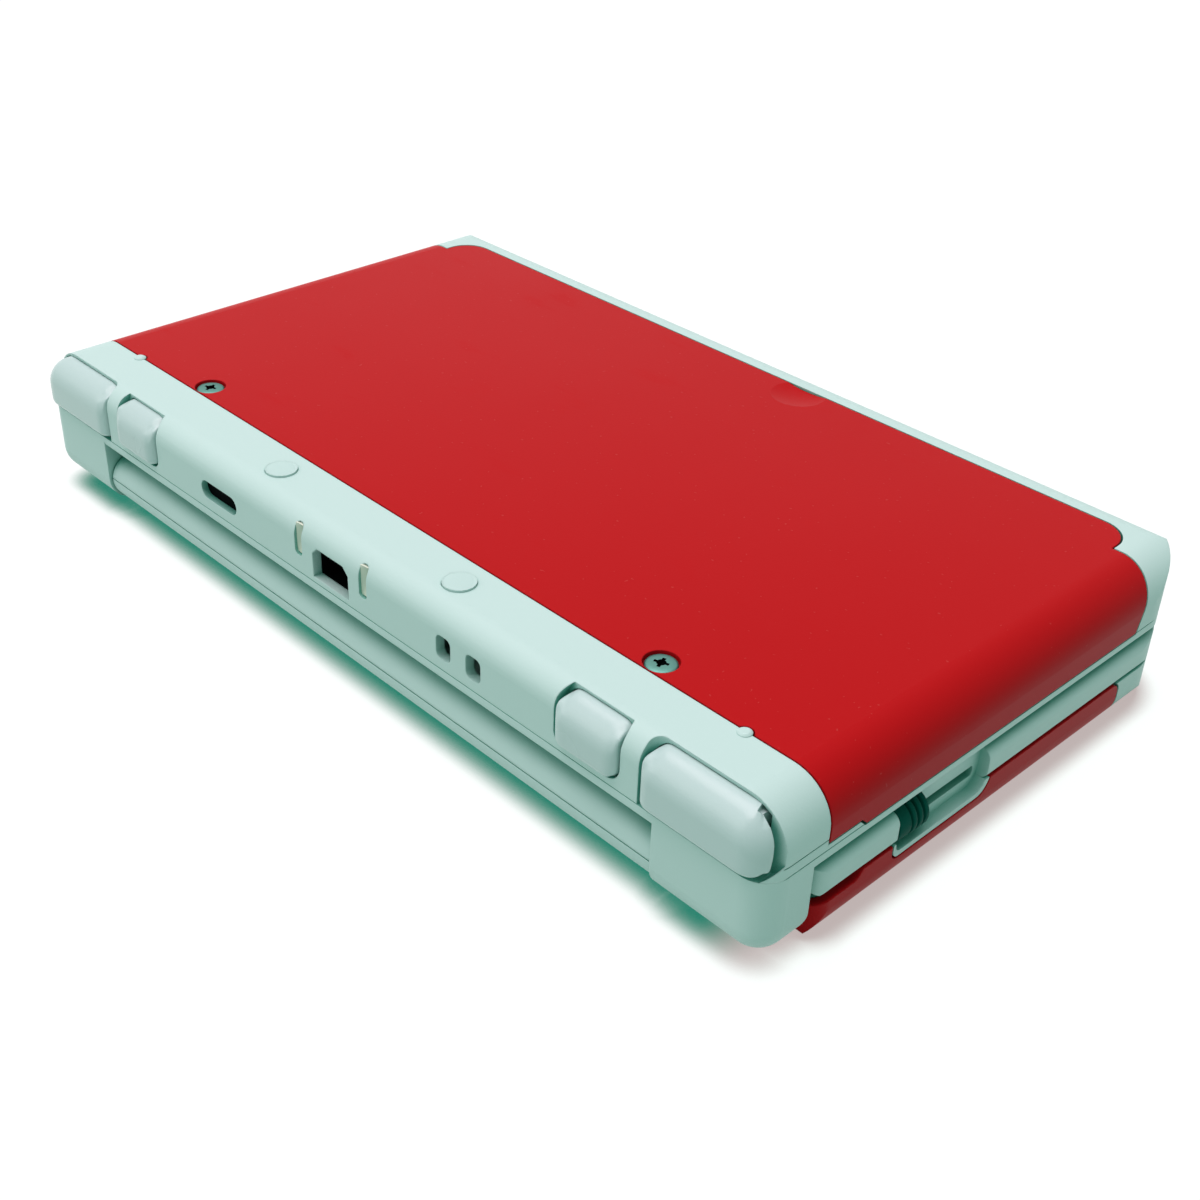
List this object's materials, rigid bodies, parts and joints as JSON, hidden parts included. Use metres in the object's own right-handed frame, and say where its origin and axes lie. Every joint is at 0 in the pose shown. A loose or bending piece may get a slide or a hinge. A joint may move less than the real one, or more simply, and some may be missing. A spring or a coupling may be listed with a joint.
{
  "type": "clamshell handheld game console",
  "caption": "Closed clamshell handheld game console with a hinged lid, two screens, shoulder buttons, a circle pad, a direction pad, side sliders and a stylus.",
  "frame": {"origin": "centre of the lid's outer face, which the closed console lies on, upside down", "axes": "+X towards the console's own right-hand side, +Y from the hinge to the front edge, +Z from the lid's outer face to the underside of the base"},
  "size_m": [0.1424, 0.0817, 0.0216],
  "materials": {
    "red_plastic": "satin moulded plastic",
    "mint_plastic": "fine matt moulded plastic",
    "glass_panel": "black glossy panel",
    "black_plastic": "matt black",
    "button_plastic": "semi-gloss",
    "grey_plastic": "matt grey",
    "slider_plastic": "dark teal, fine matt",
    "rubber": "soft",
    "steel": "plain",
    "screw_steel": "dull plated",
    "contact_brass": "plated",
    "circuit_board": "solder mask",
    "ribbon_film": "polyimide film",
    "battery_wrap": "wrapped cell"
  },
  "bodies": {
    "lid": {"lid_cover": "red_plastic", "lid_outer_housing": "mint_plastic", "lid_inner_housing": "mint_plastic", "upper_screen_glass": "glass_panel", "upper_display": "black_plastic", "speakers": "black_plastic", "outer_camera_lenses": "black_plastic", "camera_module": "black_plastic", "inner_camera_lens": "black_plastic", "lid_board": "circuit_board", "hinge_pins": "steel", "hinge_clutch": "steel", "lid_bumpers": "rubber", "lid_screws": "screw_steel", "display_ribbon": "ribbon_film", "slider_boards": "circuit_board"},
    "base": {"base_cover": "red_plastic", "rear_housing": "mint_plastic", "control_housing": "mint_plastic", "cover_screws": "screw_steel", "rubber_feet": "rubber", "battery": "battery_wrap", "main_board": "circuit_board", "touch_panel": "glass_panel", "lower_display": "black_plastic", "charging_socket": "black_plastic", "charge_contacts": "contact_brass", "infrared_window": "black_plastic", "card_slot_cage": "steel", "headphone_socket": "black_plastic", "memory_card_socket": "steel", "wireless_module": "steel", "button_membranes": "rubber", "shoulder_switches": "black_plastic", "shoulder_pins": "steel", "circle_pad_base": "black_plastic", "right_nub_stick": "grey_plastic", "status_light_pipes": "button_plastic", "base_screws": "screw_steel", "stylus_sleeve": "mint_plastic"},
    "depth_slider": {"depth_slider": "slider_plastic"},
    "volume_slider": {"volume_slider": "slider_plastic"},
    "stylus": {"stylus": "grey_plastic"},
    "right_shoulder_button": {"right_shoulder_button": "mint_plastic"},
    "left_shoulder_button": {"left_shoulder_button": "mint_plastic"},
    "right_trigger": {"right_trigger": "mint_plastic"},
    "left_trigger": {"left_trigger": "mint_plastic"},
    "right_face_button": {"right_face_button": "button_plastic"},
    "left_face_button": {"left_face_button": "button_plastic"},
    "near_face_button": {"near_face_button": "button_plastic"},
    "far_face_button": {"far_face_button": "button_plastic"},
    "start_button": {"start_button": "button_plastic"},
    "select_button": {"select_button": "button_plastic"},
    "home_button": {"home_button": "button_plastic"},
    "power_button": {"power_button": "button_plastic"},
    "dpad_pivot": {"dpad_pivot": "steel"},
    "dpad": {"dpad": "black_plastic"},
    "circle_pad_slider": {"circle_pad_slider": "grey_plastic"},
    "circle_pad_cap": {"circle_pad_cap": "grey_plastic"}
  },
  "joints": [
    {"name": "lid_hinge", "type": "hinge", "parent": "lid", "child": "base", "pos_m": [0, -0.03655, 0.00595], "axis": [1, 0, 0], "range_deg": [0, 155]},
    {"name": "depth_slide", "type": "slide", "parent": "lid", "child": "depth_slider", "axis": [0, 1, 0], "range_m": [0, 0.011]},
    {"name": "volume_slide", "type": "slide", "parent": "lid", "child": "volume_slider", "axis": [0, 1, 0], "range_m": [0, 0.011]},
    {"name": "right_shoulder_press", "type": "hinge", "parent": "base", "child": "right_shoulder_button", "pos_m": [0.0553, -0.038, 0.017], "axis": [0, 0, 1], "range_deg": [0, 4], "stiffness_Nm_per_rad": 0.06, "springref_deg": -1.72},
    {"name": "left_shoulder_press", "type": "hinge", "parent": "base", "child": "left_shoulder_button", "pos_m": [-0.0553, -0.038, 0.017], "axis": [0, 0, -1], "range_deg": [0, 4], "stiffness_Nm_per_rad": 0.06, "springref_deg": -1.72},
    {"name": "right_trigger_press", "type": "slide", "parent": "base", "child": "right_trigger", "axis": [0, 1, 0], "range_m": [0, 0.001], "stiffness_N_per_m": 300, "springref_m": -0.0004},
    {"name": "left_trigger_press", "type": "slide", "parent": "base", "child": "left_trigger", "axis": [0, 1, 0], "range_m": [0, 0.001], "stiffness_N_per_m": 300, "springref_m": -0.0004},
    {"name": "right_face_button_press", "type": "slide", "parent": "base", "child": "right_face_button", "axis": [0, 0, 1], "range_m": [0, 0.0007], "stiffness_N_per_m": 300, "springref_m": -0.0004},
    {"name": "left_face_button_press", "type": "slide", "parent": "base", "child": "left_face_button", "axis": [0, 0, 1], "range_m": [0, 0.0007], "stiffness_N_per_m": 300, "springref_m": -0.0004},
    {"name": "near_face_button_press", "type": "slide", "parent": "base", "child": "near_face_button", "axis": [0, 0, 1], "range_m": [0, 0.0007], "stiffness_N_per_m": 300, "springref_m": -0.0004},
    {"name": "far_face_button_press", "type": "slide", "parent": "base", "child": "far_face_button", "axis": [0, 0, 1], "range_m": [0, 0.0007], "stiffness_N_per_m": 300, "springref_m": -0.0004},
    {"name": "start_button_press", "type": "slide", "parent": "base", "child": "start_button", "axis": [0, 0, 1], "range_m": [0, 0.0006], "stiffness_N_per_m": 300, "springref_m": -0.0004},
    {"name": "select_button_press", "type": "slide", "parent": "base", "child": "select_button", "axis": [0, 0, 1], "range_m": [0, 0.0006], "stiffness_N_per_m": 300, "springref_m": -0.0004},
    {"name": "home_button_press", "type": "slide", "parent": "base", "child": "home_button", "axis": [0, 0, 1], "range_m": [0, 0.0006], "stiffness_N_per_m": 300, "springref_m": -0.0004},
    {"name": "power_button_press", "type": "slide", "parent": "base", "child": "power_button", "axis": [0, -1, 0], "range_m": [0, 0.0005], "stiffness_N_per_m": 300, "springref_m": -0.0004},
    {"name": "dpad_tilt_x", "type": "hinge", "parent": "base", "child": "dpad_pivot", "pos_m": [-0.054, 0.014, 0.014], "axis": [1, 0, 0], "range_deg": [-3.5, 3.5], "stiffness_Nm_per_rad": 0.03},
    {"name": "dpad_tilt_y", "type": "hinge", "parent": "dpad_pivot", "child": "dpad", "pos_m": [-0.054, 0.014, 0.014], "axis": [0, 1, 0], "range_deg": [-3.5, 3.5], "stiffness_Nm_per_rad": 0.03},
    {"name": "circle_pad_x", "type": "slide", "parent": "base", "child": "circle_pad_slider", "axis": [1, 0, 0], "range_m": [-0.0028, 0.0028], "stiffness_N_per_m": 120},
    {"name": "circle_pad_y", "type": "slide", "parent": "circle_pad_slider", "child": "circle_pad_cap", "axis": [0, 1, 0], "range_m": [-0.0028, 0.0028], "stiffness_N_per_m": 120},
    {"name": "stylus_pull", "type": "slide", "parent": "base", "child": "stylus", "axis": [0, 1, 0], "range_m": [0, 0.074]}
  ]
}
